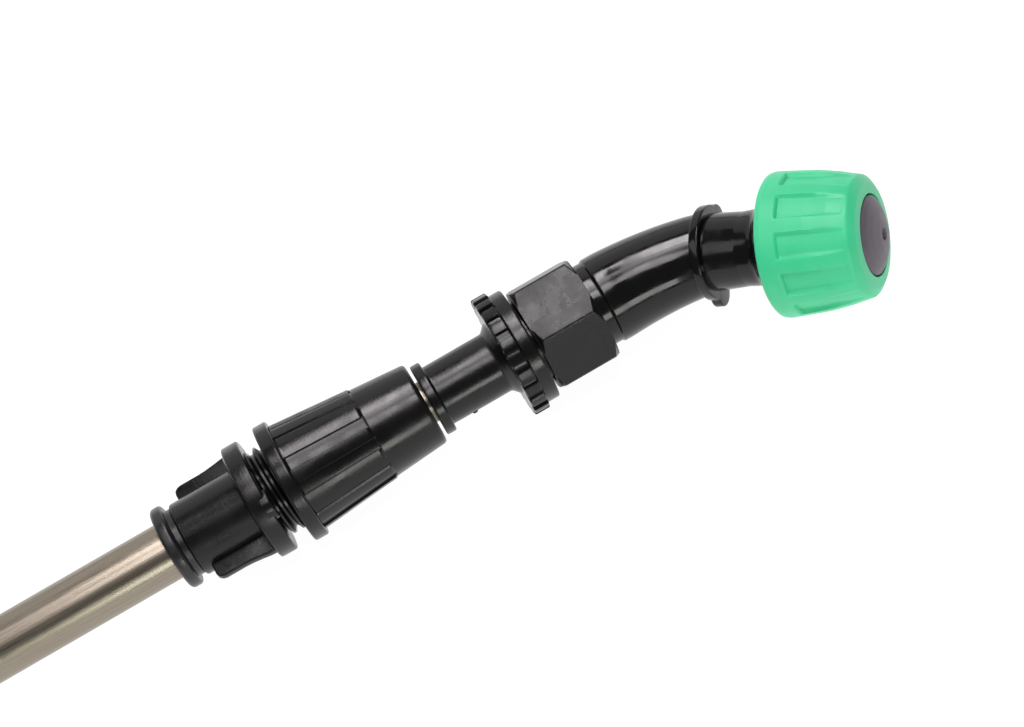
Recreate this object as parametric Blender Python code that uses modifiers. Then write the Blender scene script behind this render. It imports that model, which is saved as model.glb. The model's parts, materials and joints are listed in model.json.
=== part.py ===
"""Telescopic spray lance of a backpack sprayer, closed to its shortest length.

The lance lies along +X, from the seat of its rear union nut to its bent nozzle pipe,
which turns towards -Y and a little up. Every piece is one closed solid. An empty on each joint's axis
carries the pieces that turn or slide there, with its own Z along that axis, so turned
pieces are described by their place along the axis and their radius, in metres.
"""
import math

import bmesh
import bpy
from mathutils import Euler, Vector

# Driving dimensions, in metres.
FIT = 0.0003            # clearance between pieces that touch
GAP_X = 0.300           # rear seat to the gap between the gland nut and the tip collar
TUBE_RADIUS = 0.0060    # stainless outer tube
TUBE_WALL = 0.00055
INNER_RADIUS = 0.0045   # stainless inner tube
INNER_WALL = 0.0005
TUBE_END = -0.0445      # front end of the outer tube, from the gap
SEAL_RADIUS = 0.0071    # seal and collet, inside the gland body
NUT_RADIUS = 0.0129     # rim of the gland nut
KNURL_RADIUS = 0.0132   # knurled flange of the tip adapter
THREAD_RADIUS = 0.0092  # male thread of the tip adapter, at its crests
NOSE_RADIUS = 0.0090    # male thread of the pipe's nose, at its crests
PIPE_RADIUS = 0.0082    # pipe inside the coupling nut
BORE_RADIUS = 0.0040    # liquid way
CORE_POCKET = 0.0050    # widening of that way, for the swirl core
HEX_FLATS = 0.0213      # coupling nut, across flats
BEND = math.radians(38.5)       # whole turn of the pipe, from the lance to the nozzle
ARC = math.radians(20.2)        # the part of it that is a smooth bend, before the mitre
ROLL = math.radians(19.5)       # how far the plane of the bend is turned up from level
BEND_START = 0.0430             # start of the bend, from the gap
BEND_RADIUS = 0.0587
MITRE = BEND_RADIUS * (1 - math.cos(ARC)) / math.sin(BEND)  # past where the axes meet
AXES_MEET = BEND_START + BEND_RADIUS * math.sin(ARC) - MITRE * math.cos(BEND)
EARS_REAR = 0.0059              # rear face of the eared plate, past where the axes meet
CAP_REAR = 0.0209               # rear plane of the cap, past where the axes meet
CAP_FRONT = 0.0411

# Where marks sit round the axes, measured about each axis from straight down (-Z).
WING_ANGLE = math.radians(276.4)
HEX_ANGLE = math.radians(38.1)
RIB_ANGLE = math.radians(211.9)
EAR_ANGLES = (math.radians(114.6), math.radians(334.6))
FLUTE_ANGLE = math.radians(1.5)

# Counts of repeated features.
GLAND_RIBS = 13
KNURL_GROOVES = 25
CAP_FLUTES = 11
REAR_RIBS = 12
COLLET_SLOTS = 4

ROUND_STEPS = 32        # sides of the large turned pieces
SMALL_STEPS = 20        # sides of the small ones
MERGE = 0.00001

# Colour (linear), roughness and metallic value of each material.
FINISHES = {
    "black_plastic": ((0.012, 0.012, 0.013), 0.35, 0.0),
    "stainless_steel": ((0.55, 0.52, 0.47), 0.28, 1.0),
    "black_rubber": ((0.010, 0.010, 0.010), 0.55, 0.0),
    "green_plastic": ((0.080, 0.630, 0.300), 0.38, 0.0),
    "grey_plastic": ((0.095, 0.075, 0.090), 0.45, 0.0),
    "natural_plastic": ((0.70, 0.68, 0.62), 0.45, 0.0),
    "steel_mesh": ((0.45, 0.45, 0.45), 0.45, 1.0),
}


def clear_scene():
    for item in list(bpy.data.objects):
        bpy.data.objects.remove(item, do_unlink=True)


def new_collection(name):
    collection = bpy.data.collections.new(name)
    bpy.context.scene.collection.children.link(collection)
    return collection


def give_material(item, finish):
    colour, roughness, metallic = FINISHES[finish]
    material = bpy.data.materials.new(f"{item.name}_{finish}")
    material.use_nodes = True
    shader = material.node_tree.nodes["Principled BSDF"]
    shader.inputs["Base Color"].default_value = (*colour, 1.0)
    shader.inputs["Roughness"].default_value = roughness
    shader.inputs["Metallic"].default_value = metallic
    material.diffuse_color = (*colour, 1.0)
    item.data.materials.append(material)


def axis_empty(name, location, parent=None, turn=0.0):
    """An empty whose Z lies along the lance, or turned from it in the plane of the bend."""
    empty = bpy.data.objects.new(name, None)
    PARTS.objects.link(empty)
    empty.empty_display_size = 0.01
    if parent is None:
        empty.location = location
        spin = Euler((0.0, math.pi / 2, -turn)).to_matrix()
        if turn:
            spin = Euler((-ROLL, 0.0, 0.0)).to_matrix() @ spin
        empty.rotation_euler = spin.to_euler()
    else:
        empty.parent = parent
        empty.location = (0.0, 0.0, location)
    return empty


def place(item, axis, collection):
    collection.objects.link(item)
    item.parent = axis
    if collection is CUTTERS:
        item.hide_render = True
        item.display_type = "WIRE"
    return item


def turned_item(name, axis, collection, profile, steps):
    """A profile of (along, radius) points, turned about the axis by a Screw modifier.

    The points run down the outer side from the front and come back up the bore.
    """
    mesh = bpy.data.meshes.new(name)
    points = [(radius, 0.0, along) for along, radius in profile]
    edges = [(i, i + 1) for i in range(len(points) - 1)]
    if profile[0][1] > 0.0:
        edges.append((len(points) - 1, 0))
    mesh.from_pydata(points, edges, [])
    item = place(bpy.data.objects.new(name, mesh), axis, collection)
    screw = item.modifiers.new("turn", "SCREW")
    screw.steps = steps
    screw.render_steps = steps
    screw.use_merge_vertices = True
    screw.merge_threshold = MERGE
    screw.use_smooth_shade = True
    return item


def ring(name, axis, finish, outer, bore, steps=ROUND_STEPS):
    """A turned piece with a hole: both outlines run from the rear to the front."""
    item = turned_item(name, axis, PARTS, outer[::-1] + bore, steps)
    give_material(item, finish)
    return item


def plain_ring(name, axis, finish, rear, front, outer, bore, steps=SMALL_STEPS):
    """A plain washer or sleeve."""
    return ring(name, axis, finish, [(rear, outer), (front, outer)],
                [(rear, bore), (front, bore)], steps)


def o_ring(name, axis, finish, centre, middle_radius, wire_radius, sides=8):
    """A ring of round section."""
    profile = [(centre + wire_radius * math.cos(turn), middle_radius + wire_radius * math.sin(turn))
               for turn in (2 * math.pi * i / sides for i in range(sides))]
    item = turned_item(name, axis, PARTS, profile, SMALL_STEPS)
    give_material(item, finish)
    return item


def solid_turned(name, axis, outline, steps=ROUND_STEPS):
    """A turned solid used as a cutter or as material to join on: no hole."""
    profile = [(outline[-1][0], 0.0)] + outline[::-1] + [(outline[0][0], 0.0)]
    return turned_item(name, axis, CUTTERS, profile, steps)


def solid_cylinder(name, axis, rear, front, radius, steps=SMALL_STEPS):
    return solid_turned(name, axis, [(rear, radius), (front, radius)], steps)


def add_box(mesh, size, centre, turn, slope=0.0):
    """Adds a box at centre = (radius, along), tilted by slope, then turned round the axis."""
    made = bmesh.ops.create_cube(mesh, size=1.0)["verts"]
    bmesh.ops.scale(mesh, verts=made, vec=size)
    bmesh.ops.rotate(mesh, verts=made, cent=(0, 0, 0), matrix=Euler((0.0, slope, 0.0)).to_matrix())
    bmesh.ops.translate(mesh, verts=made, vec=(centre[0], 0.0, centre[1]))
    bmesh.ops.rotate(mesh, verts=made, cent=(0, 0, 0), matrix=Euler((0.0, 0.0, turn)).to_matrix())


def boxes_round(name, axis, count, size, centre, start=0.0, slope=0.0):
    """Boxes repeated round the axis. size is radial, tangential and along."""
    mesh = bpy.data.meshes.new(name)
    work = bmesh.new()
    for number in range(count):
        add_box(work, size, centre, start + 2 * math.pi * number / count, slope)
    work.to_mesh(mesh)
    work.free()
    return place(bpy.data.objects.new(name, mesh), axis, CUTTERS)


def combine(item, other, operation):
    change = item.modifiers.new(other.name, "BOOLEAN")
    change.operation = operation
    change.object = other
    change.solver = "EXACT"


def cut(item, other):
    combine(item, other, "DIFFERENCE")


def join(item, other):
    combine(item, other, "UNION")


def wing_plate(name, axis, outline, thickness, turn):
    """A flat plate of (along, radius) outline, standing out from the axis at the angle turn."""
    mesh = bpy.data.meshes.new(name)
    work = bmesh.new()
    corners = [work.verts.new((radius, -thickness / 2, along)) for along, radius in outline]
    face = work.faces.new(corners)
    grown = bmesh.ops.extrude_face_region(work, geom=[face])["geom"]
    moved = [part for part in grown if isinstance(part, bmesh.types.BMVert)]
    bmesh.ops.translate(work, verts=moved, vec=(0.0, thickness, 0.0))
    bmesh.ops.recalc_face_normals(work, faces=work.faces)
    bmesh.ops.rotate(work, verts=work.verts, cent=(0, 0, 0),
                     matrix=Euler((0.0, 0.0, turn)).to_matrix())
    work.to_mesh(mesh)
    work.free()
    return place(bpy.data.objects.new(name, mesh), axis, CUTTERS)


def bent_tube(name, path, collection, bevel_resolution):
    """A tube along (point, radius) pairs, with its caps welded."""
    curve = bpy.data.curves.new(name, "CURVE")
    curve.dimensions = "3D"
    curve.bevel_depth = 1.0
    curve.bevel_resolution = bevel_resolution
    curve.use_fill_caps = True
    spline = curve.splines.new("POLY")
    spline.points.add(len(path) - 1)
    for point, (place_on_path, radius) in zip(spline.points, path):
        point.co = (*place_on_path, 1.0)
        point.radius = radius
    source = bpy.data.objects.new(f"{name}_curve", curve)
    CUTTERS.objects.link(source)
    bpy.context.view_layer.update()
    evaluated = source.evaluated_get(bpy.context.evaluated_depsgraph_get())
    mesh = bpy.data.meshes.new_from_object(evaluated)
    work = bmesh.new()
    work.from_mesh(mesh)
    bmesh.ops.remove_doubles(work, verts=work.verts, dist=MERGE)
    bmesh.ops.recalc_face_normals(work, faces=work.faces)
    work.to_mesh(mesh)
    work.free()
    mesh.name = name
    tube = place(bpy.data.objects.new(name, mesh), None, collection)
    tube.matrix_world = source.matrix_world.copy()
    bpy.data.objects.remove(source, do_unlink=True)
    return tube


def bend_way(along, across):
    """A vector in the plane of the bend: along the lance, and across it towards the bend."""
    return Vector((along, -across * math.cos(ROLL), across * math.sin(ROLL)))


def pipe_path(straight, radii, end, steps=6):
    """Points from a straight run through the bend and on along the nozzle's axis.

    straight lists (along, radius) from the gap; radii are those at the start and end of
    the bend; end lists (along, radius) past the point where the axes meet.
    """
    gap = Vector((GAP_X, 0.0, 0.0))
    path = [(gap + bend_way(along, 0.0), radius) for along, radius in straight]
    for step in range(steps + 1):
        share = step / steps
        along = BEND_START + BEND_RADIUS * math.sin(ARC * share)
        across = BEND_RADIUS * (1 - math.cos(ARC * share))
        path.append((gap + bend_way(along, across), radii[0] + (radii[1] - radii[0]) * share))
    meet = gap + bend_way(AXES_MEET, 0.0)
    direction = bend_way(math.cos(BEND), math.sin(BEND))
    path += [(meet + along * direction, radius) for along, radius in end]
    return path


def outer_barrel(lance, gland):
    """The tube, its rubber ring and what is fixed in the gland."""
    front = GAP_X + TUBE_END
    plain_ring("outer_tube", lance, "stainless_steel", 0.0033, front,
               TUBE_RADIUS, TUBE_RADIUS - TUBE_WALL, ROUND_STEPS)
    lip = [(-0.0587, 0.0070), (-0.0588, 0.0081), (-0.0582, 0.0088), (-0.0572, 0.0088),
           (-0.0564, 0.0080), (-0.0561, 0.0071), (-0.0553, 0.0071)]
    ring("barrel_ring", gland, "black_rubber", lip,
         [(-0.0587, TUBE_RADIUS + FIT), (-0.0553, TUBE_RADIUS + FIT)])
    plain_ring("gland_seal", gland, "black_rubber", -0.0397, -0.0378,
               SEAL_RADIUS, INNER_RADIUS + FIT)


def gland_body(gland):
    """Body with its flange, male thread and two wings."""
    outer = [(-0.0550, 0.0071), (-0.0547, 0.0076), (-0.0540, 0.00795), (-0.0409, 0.00795),
             (-0.0406, 0.0110), (-0.0404, 0.01235), (-0.0370, 0.01235), (-0.0368, 0.0121),
             (-0.0368, 0.0094), (-0.0268, 0.0094), (-0.0260, 0.0087)]
    bore = [(-0.0550, TUBE_RADIUS + FIT), (-0.0442, TUBE_RADIUS + FIT),
            (-0.0442, INNER_RADIUS + FIT), (-0.0400, INNER_RADIUS + FIT),
            (-0.0400, SEAL_RADIUS + FIT), (-0.0260, SEAL_RADIUS + FIT)]
    body = ring("gland_body", gland, "black_plastic", outer, bore)
    wing = [(-0.0529, 0.0070), (-0.0529, 0.0097), (-0.0524, 0.0108), (-0.0514, 0.0113),
            (-0.0470, 0.0113), (-0.0440, 0.0117), (-0.0402, 0.0121), (-0.0402, 0.0070)]
    for side in range(2):
        turn = WING_ANGLE + math.pi * side
        join(body, wing_plate(f"wing_{side}", gland, wing, 0.0019, turn))


def gland_grip(ring_axis):
    """Thrust ring and split collet, which the nut drives along the lance."""
    plain_ring("gland_thrust_ring", ring_axis, "natural_plastic", -0.0217, -0.0198,
               0.0079, INNER_RADIUS + FIT)
    outer = [(-0.0347, 0.0068), (-0.0343, SEAL_RADIUS), (-0.0245, SEAL_RADIUS),
             (-0.0220, 0.0060)]
    bore = [(-0.0347, INNER_RADIUS + FIT), (-0.0220, INNER_RADIUS + FIT)]
    collet = ring("gland_collet", ring_axis, "natural_plastic", outer, bore, SMALL_STEPS)
    slot_length = 0.0080
    cut(collet, boxes_round("collet_slots", ring_axis, COLLET_SLOTS,
                            (0.0060, 0.0010, slot_length),
                            (0.0060, -0.0215 - slot_length / 2), math.pi / COLLET_SLOTS))


def gland_nut(axis):
    """Clamp nut: rim, ribbed cone, then a smooth cone."""
    outer = [(-0.0330, NUT_RADIUS - 0.0004), (-0.0327, NUT_RADIUS), (-0.0304, NUT_RADIUS),
             (-0.0300, NUT_RADIUS - 0.0005), (-0.0299, 0.01135), (-0.0125, 0.00985),
             (-0.0014, 0.00895), (-0.0007, 0.0087), (-0.00036, 0.0081)]
    bore = [(-0.0330, 0.0098), (-0.0220, 0.0098), (-0.0210, 0.0083), (-0.0194, 0.0083),
            (-0.0194, 0.0068), (-0.0030, 0.0064), (-0.0025, INNER_RADIUS + FIT),
            (-0.00036, INNER_RADIUS + FIT)]
    nut = ring("gland_nut", axis, "black_plastic", outer, bore)
    crest_rear, crest_front, depth = 0.01165, 0.01010, 0.0010
    slope = math.atan2(crest_rear - crest_front, 0.0299 - 0.0125)
    middle = (crest_rear + crest_front) / 2 - depth / 2
    join(nut, boxes_round("gland_ribs", axis, GLAND_RIBS, (depth, 0.0026, 0.0178),
                          (middle, -0.0214), RIB_ANGLE, slope=-slope))


def inner_wand(guide, wand):
    """Inner tube, the bush on its hidden end and the tip adapter."""
    head = [(0.0270, 0.0048), (0.0272, 0.0051), (0.0288, 0.0051), (0.0288, 0.0040),
            (0.0306, 0.0040), (0.0306, 0.0051), (0.0330, 0.0051), (0.0330, 0.0036),
            (0.0390, 0.0036)]
    ring("guide_bush", guide, "natural_plastic", head, [(0.0270, 0.0025), (0.0390, 0.0025)],
         SMALL_STEPS)
    plain_ring("guide_seal", guide, "black_rubber", 0.0291, 0.0303, 0.0052, 0.0043)
    tube_front = GAP_X + 0.0140
    plain_ring("inner_tube", wand, "stainless_steel", 0.0333, tube_front,
               INNER_RADIUS, INNER_RADIUS - INNER_WALL, SMALL_STEPS)


def tip_adapter(tip):
    """Collar, sleeve, knurled flange and the male thread for the coupling nut."""
    outer = [(0.0003, 0.0075), (0.0006, 0.0078), (0.0021, 0.0078), (0.0025, 0.0074),
             (0.0025, 0.0065), (0.0160, 0.0065), (0.0174, 0.0080), (0.0174, KNURL_RADIUS - 0.0004),
             (0.0178, KNURL_RADIUS), (0.0205, KNURL_RADIUS), (0.0209, KNURL_RADIUS - 0.0004),
             (0.0209, 0.0122), (0.0234, 0.0122), (0.0237, 0.0119), (0.0237, THREAD_RADIUS),
             (0.0283, THREAD_RADIUS), (0.0289, THREAD_RADIUS - 0.0005)]
    bore = [(0.0003, INNER_RADIUS + FIT), (0.0143, INNER_RADIUS + FIT), (0.0143, 0.0035),
            (0.0170, 0.0035), (0.0170, 0.0063), (0.0289, 0.0063)]
    adapter = ring("tip_adapter", tip, "black_plastic", outer, bore)
    cut(adapter, boxes_round("knurl_grooves", tip, KNURL_GROOVES, (0.0020, 0.0008, 0.0060),
                             (KNURL_RADIUS - 0.0009 + 0.0010, 0.01915 - 0.0013)))
    plain_ring("elbow_seal", tip, "black_rubber", 0.0292, 0.0302, 0.0088, 0.0048)


def strainer(tip):
    """Filter frame with its mesh sleeve, in the adapter's chamber."""
    frame = [(0.0175, 0.0042), (0.0265, 0.0042), (0.0265, 0.0060), (0.0280, 0.0060)]
    ring("strainer_body", tip, "natural_plastic", frame,
         [(0.0175, 0.0030), (0.0280, 0.0030)], SMALL_STEPS)
    plain_ring("strainer_mesh", tip, "steel_mesh", 0.0178, 0.0262, 0.0051, 0.0045)


def coupling(washer_axis, nut_axis):
    """Flat washer and hex nut that hold the pipe's collar on the adapter."""
    plain_ring("coupling_washer", washer_axis, "natural_plastic", 0.0326, 0.0334,
               THREAD_RADIUS, 0.0085)
    outer = [(0.0245, 0.0116), (0.0252, 0.0123), (0.0370, 0.0123), (0.0382, 0.0111)]
    bore = [(0.0245, THREAD_RADIUS + FIT), (0.0337, THREAD_RADIUS + FIT),
            (0.0337, PIPE_RADIUS + FIT), (0.0382, PIPE_RADIUS + FIT)]
    nut = ring("coupling_nut", nut_axis, "black_plastic", outer, bore)
    combine(nut, hex_prism(nut_axis), "INTERSECT")


def hex_prism(axis):
    mesh = bpy.data.meshes.new("coupling_hex")
    work = bmesh.new()
    corner = HEX_FLATS / 2 / math.cos(math.pi / 6)
    bmesh.ops.create_cone(work, cap_ends=True, segments=6, radius1=corner, radius2=corner,
                          depth=0.030)
    bmesh.ops.rotate(work, verts=work.verts, cent=(0, 0, 0),
                     matrix=Euler((0.0, 0.0, HEX_ANGLE)).to_matrix())
    bmesh.ops.translate(work, verts=work.verts, vec=(0.0, 0.0, 0.0313))
    work.to_mesh(mesh)
    work.free()
    return place(bpy.data.objects.new("coupling_hex", mesh), axis, CUTTERS)


def elbow(pipe_axis, nozzle):
    """Bent pipe: collar, shoulder, eared flange, rear flange and threaded nose."""
    path = pipe_path([(0.0310, PIPE_RADIUS), (0.0404, PIPE_RADIUS), (0.0406, 0.0091),
                      (0.0409, 0.0093)], (0.0093, 0.0082), [(0.0070, 0.0080), (0.0200, 0.0076)])
    pipe = bent_tube("elbow", path, PARTS, 10)
    give_material(pipe, "black_plastic")
    pipe.parent = pipe_axis
    pipe.matrix_parent_inverse = matrix_of(pipe_axis).inverted()
    join(pipe, solid_turned("pipe_collar", pipe_axis, [(0.0305, THREAD_RADIUS),
                                                       (0.0323, THREAD_RADIUS)]))
    ears_front = EARS_REAR + 0.0020
    join(pipe, solid_cylinder("ear_plate", nozzle, EARS_REAR, ears_front, 0.0096, ROUND_STEPS))
    ears = bpy.data.meshes.new("ears")
    work = bmesh.new()
    for turn, reach in zip(EAR_ANGLES, (0.0072, 0.0082)):
        made = bmesh.ops.create_cone(work, cap_ends=True, segments=16, radius1=0.0031,
                                     radius2=0.0031, depth=0.0016)["verts"]
        bmesh.ops.translate(work, verts=made, vec=(
            reach * math.cos(turn), reach * math.sin(turn), (EARS_REAR + ears_front) / 2))
    work.to_mesh(ears)
    work.free()
    join(pipe, place(bpy.data.objects.new("ears", ears), nozzle, CUTTERS))
    nose = [(0.0180, 0.0077), (0.0188, 0.0083), (0.0190, 0.0100), (0.0202, 0.0100),
            (0.0203, 0.0084), (0.0215, 0.0084), (0.0224, NOSE_RADIUS), (0.0294, NOSE_RADIUS),
            (0.0297, 0.0086), (0.0309, 0.0086), (0.0309, 0.0073), (0.0329, 0.0073),
            (0.0329, 0.0086), (0.0337, 0.0086), (0.0342, 0.0081)]
    join(pipe, solid_turned("pipe_nose", nozzle, nose))
    way = pipe_path([(0.0280, BORE_RADIUS), (0.0400, BORE_RADIUS)],
                    (BORE_RADIUS, BORE_RADIUS),
                    [(0.0263, BORE_RADIUS), (0.0265, CORE_POCKET), (0.0360, CORE_POCKET)])
    cut(pipe, bent_tube("pipe_way", way, CUTTERS, 4))


def matrix_of(item):
    bpy.context.view_layer.update()
    return item.matrix_world


def nozzle_insides(nozzle):
    """What the pipe's nose carries: its O-ring and the core that spins the liquid."""
    o_ring("nose_o_ring", nozzle, "black_rubber", 0.0319, 0.0083, 0.00065)
    outline = [(0.0269, 0.0020), (0.0275, 0.0046), (0.0331, 0.0046), (0.0339, 0.0040)]
    core = ring("swirl_core", nozzle, "natural_plastic", outline,
                [(0.0269, 0.0010), (0.0339, 0.0010)], SMALL_STEPS)
    cut(core, boxes_round("swirl_slots", nozzle, 3, (0.0020, 0.0012, 0.0100), (0.0046, 0.0304)))


def nozzle_tip(tip_axis, cap_axis):
    """Gasket, disc with the spray hole, and the fluted cap."""
    plain_ring("disc_gasket", tip_axis, "black_rubber", 0.0345, 0.0355, NOSE_RADIUS, 0.0048)
    edge = 0.00785
    disc = [(0.0358, NOSE_RADIUS), (0.0378, NOSE_RADIUS), (0.0378, edge), (CAP_FRONT, edge),
            (CAP_FRONT + 0.0008, 0.0063), (CAP_FRONT + 0.0016, 0.0036),
            (CAP_FRONT + 0.0020, 0.0012)]
    hole = [(0.0358, 0.0040), (0.0389, 0.0030), (0.0404, 0.0006), (CAP_FRONT + 0.0011, 0.0006),
            (CAP_FRONT + 0.0012, 0.0010), (CAP_FRONT + 0.0020, 0.0010)]
    ring("nozzle_disc", tip_axis, "grey_plastic", disc, hole, SMALL_STEPS)
    outer = [(0.0, 0.0138), (0.0003, 0.0142), (0.0015, 0.01445), (0.0063, 0.01415),
             (0.0104, 0.01385), (0.0147, 0.0130), (0.0189, 0.0120), (0.0198, 0.0111),
             (0.0202, 0.0099), (0.0202, edge + FIT)]
    outer = [(CAP_REAR + along, radius) for along, radius in outer]
    bore = [(CAP_REAR, 0.0104), (0.0241, 0.0104), (0.0245, NOSE_RADIUS + FIT),
            (0.0381, NOSE_RADIUS + FIT), (0.0381, edge + FIT)]
    cap = turned_item("nozzle_cap", cap_axis, PARTS, outer[::-1] + bore, ROUND_STEPS)
    give_material(cap, "green_plastic")
    slope = math.atan2(0.01415 - 0.0120, 0.0189 - 0.0063)
    cut(cap, boxes_round("cap_flutes", cap_axis, CAP_FLUTES, (0.0020, 0.0046, 0.0126),
                         (0.01408, CAP_REAR + 0.0114), FLUTE_ANGLE, -slope))


def rear_end(lance, washer_axis, nut_axis):
    """Tail pressed in the tube, its face O-ring, and the union nut for the trigger valve."""
    outer = [(0.0, 0.0081), (0.0003, 0.0084), (0.0030, 0.0084), (0.0030, 0.0051),
             (0.0150, 0.0051)]
    bore = [(0.0, 0.0034), (0.0150, 0.0034)]
    tail = ring("rear_tail", lance, "black_plastic", outer, bore, SMALL_STEPS)
    join(tail, boxes_round("tail_web", lance, 1, (0.0074, 0.0014, 0.0020), (0.0, 0.0010)))
    groove = turned_item("tail_groove", lance, CUTTERS,
                         [(0.0014, 0.0073), (-0.0010, 0.0073), (-0.0010, 0.0048),
                          (0.0014, 0.0048)], SMALL_STEPS)
    cut(tail, groove)
    o_ring("rear_o_ring", lance, "black_rubber", 0.0004, 0.00605, 0.0008)
    plain_ring("rear_washer", washer_axis, "natural_plastic", 0.0036, 0.0044, 0.0084,
               TUBE_RADIUS + FIT)
    skin = [(-0.0100, 0.0118), (-0.0095, 0.0123), (-0.0060, 0.0123), (-0.0052, 0.0117),
            (0.0065, 0.0112), (0.0080, 0.0100), (0.0090, 0.0082)]
    socket = [(-0.0100, 0.0092), (-0.0092, 0.0088), (0.0047, 0.0088), (0.0047, 0.0064),
              (0.0090, 0.0064)]
    nut = ring("rear_nut", nut_axis, "black_plastic", skin, socket)
    cut(nut, boxes_round("rear_grooves", nut_axis, REAR_RIBS, (0.0012, 0.0016, 0.0112),
                         (0.0115, 0.0006), slope=-0.04))


clear_scene()
PARTS = new_collection("spray_lance")
CUTTERS = new_collection("cutters")


def main():
    lance = axis_empty("lance_axis", (0.0, 0.0, 0.0))
    gland = axis_empty("gland_axis", GAP_X, lance)
    gland_ring_axis = axis_empty("gland_ring_axis", 0.0, gland)
    gland_nut_axis = axis_empty("gland_nut_axis", 0.0, gland_ring_axis)
    guide = axis_empty("guide_axis", 0.0, lance)
    wand = axis_empty("wand_axis", 0.0, guide)
    tip = axis_empty("tip_adapter_axis", GAP_X, wand)
    coupling_washer_axis = axis_empty("coupling_washer_axis", 0.0, tip)
    coupling_nut_axis = axis_empty("coupling_nut_axis", 0.0, coupling_washer_axis)
    pipe = axis_empty("elbow_axis", 0.0, tip)
    nozzle = axis_empty("nozzle_axis", (GAP_X + AXES_MEET, 0.0, 0.0), turn=BEND)
    cap_slide = axis_empty("tip_slide_axis", 0.0, nozzle)
    cap = axis_empty("cap_axis", 0.0, cap_slide)
    rear_slide = axis_empty("rear_slide_axis", 0.0, lance)
    rear = axis_empty("rear_nut_axis", 0.0, rear_slide)

    outer_barrel(lance, gland)
    gland_body(gland)
    gland_grip(gland_ring_axis)
    gland_nut(gland_nut_axis)
    inner_wand(guide, wand)
    tip_adapter(tip)
    strainer(tip)
    coupling(coupling_washer_axis, coupling_nut_axis)
    elbow(pipe, nozzle)
    nozzle_insides(nozzle)
    nozzle_tip(cap_slide, cap)
    rear_end(lance, rear_slide, rear)


main()
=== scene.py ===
"""The looks of a telescopic spray lance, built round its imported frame.

Laid out as an add-on: one operator for each piece or group of like pieces, one for the
stage, and a panel that lists them. Lengths are in metres. A turned piece is described by
an outline of (along, radius, rounding), written in millimetres and turned to metres by
mm(): along the lance it is counted from the gap in front of the gland nut, and along the
nozzle from the point where the two axes meet.
"""

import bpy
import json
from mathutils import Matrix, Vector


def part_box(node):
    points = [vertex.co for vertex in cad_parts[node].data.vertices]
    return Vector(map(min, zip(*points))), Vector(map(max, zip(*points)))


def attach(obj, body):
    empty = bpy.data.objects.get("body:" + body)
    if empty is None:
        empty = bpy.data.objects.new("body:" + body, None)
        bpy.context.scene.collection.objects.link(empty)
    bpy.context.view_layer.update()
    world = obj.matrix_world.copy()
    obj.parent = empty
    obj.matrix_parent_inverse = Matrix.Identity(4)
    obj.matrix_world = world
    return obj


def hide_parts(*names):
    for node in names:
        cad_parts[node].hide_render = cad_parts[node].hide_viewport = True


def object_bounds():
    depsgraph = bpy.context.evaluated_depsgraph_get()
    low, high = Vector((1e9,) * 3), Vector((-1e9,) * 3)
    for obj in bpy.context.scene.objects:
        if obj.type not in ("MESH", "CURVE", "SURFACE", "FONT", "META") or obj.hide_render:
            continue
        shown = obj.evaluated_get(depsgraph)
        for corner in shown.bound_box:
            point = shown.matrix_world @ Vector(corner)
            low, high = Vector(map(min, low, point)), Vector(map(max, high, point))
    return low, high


bl_info = {
    "name": "Spray Lance",
    "version": (1, 0, 0),
    "blender": (4, 5, 0),
    "location": "View3D > Sidebar > Spray Lance",
    "description": "Builds a telescopic spray lance with its materials and stage",
    "category": "Object",
}

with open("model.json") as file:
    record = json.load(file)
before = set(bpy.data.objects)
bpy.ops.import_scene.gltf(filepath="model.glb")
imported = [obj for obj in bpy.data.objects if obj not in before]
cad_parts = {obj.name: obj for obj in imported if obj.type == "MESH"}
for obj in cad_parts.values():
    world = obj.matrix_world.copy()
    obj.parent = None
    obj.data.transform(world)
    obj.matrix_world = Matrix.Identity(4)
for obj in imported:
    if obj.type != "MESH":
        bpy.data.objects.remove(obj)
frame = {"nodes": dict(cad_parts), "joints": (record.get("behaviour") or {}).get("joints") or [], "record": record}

import json
import math

import bmesh
import bpy
from mathutils import Matrix, Vector

CAD_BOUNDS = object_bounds()
MM = 0.001
FIT = 0.0003

JOINTS = {joint["name"]: joint for joint in frame["joints"]}
GAP_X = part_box("tip_adapter")[0].x - FIT
MEET = Vector(JOINTS["cap_turn"]["pos_m"])
NOZZLE_WAY = Vector(JOINTS["cap_turn"]["axis"]).normalized()
BEND = math.acos(NOZZLE_WAY.x)
ROLL = math.atan2(NOZZLE_WAY.z, -NOZZLE_WAY.y)
ARC = math.radians(20.2)
BEND_START = 0.0430
BEND_RADIUS = 0.0587
BEND_LENGTH = BEND_RADIUS * ARC
MITRE = BEND_RADIUS * (1 - math.cos(ARC)) / math.sin(BEND)
FLOOR_Z = CAD_BOUNDS[0].z


def axis_matrix(origin, turn, roll=0.0):
    """Local Z along the lance, or turned from it in the plane of the bend."""
    spin = Matrix.Rotation(-turn, 4, "Z") @ Matrix.Rotation(math.pi / 2, 4, "Y")
    return Matrix.Translation(origin) @ Matrix.Rotation(-roll, 4, "X") @ spin


LANCE = axis_matrix((GAP_X, 0.0, 0.0), 0.0)
NOZZLE = axis_matrix(MEET, BEND, ROLL)
REAR = axis_matrix((0.0, 0.0, 0.0), 0.0)

# Where features sit round their axes, measured from straight down.
RIB_TURN = math.radians(211.9)
KNURL_TURN = math.radians(212.7)
WING_TURN = math.radians(276.4)
TAB_TURN = math.radians(224.4)
HEX_TURN = math.radians(38.1)
NIB_TURN = math.radians(303.4)
EARS = ((math.radians(114.6), 0.0072), (math.radians(334.6), 0.0082))
FLUTE_TURN = math.radians(230.6)
EAR_RADIUS = 0.0031
TAB_REACH = math.radians(19)    # half the angle that the gland's lug takes up

# A thread ridge's widths, as shares of the pitch.
RIDGE_FOOT = 0.90
RIDGE_CREST = 0.22


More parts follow.
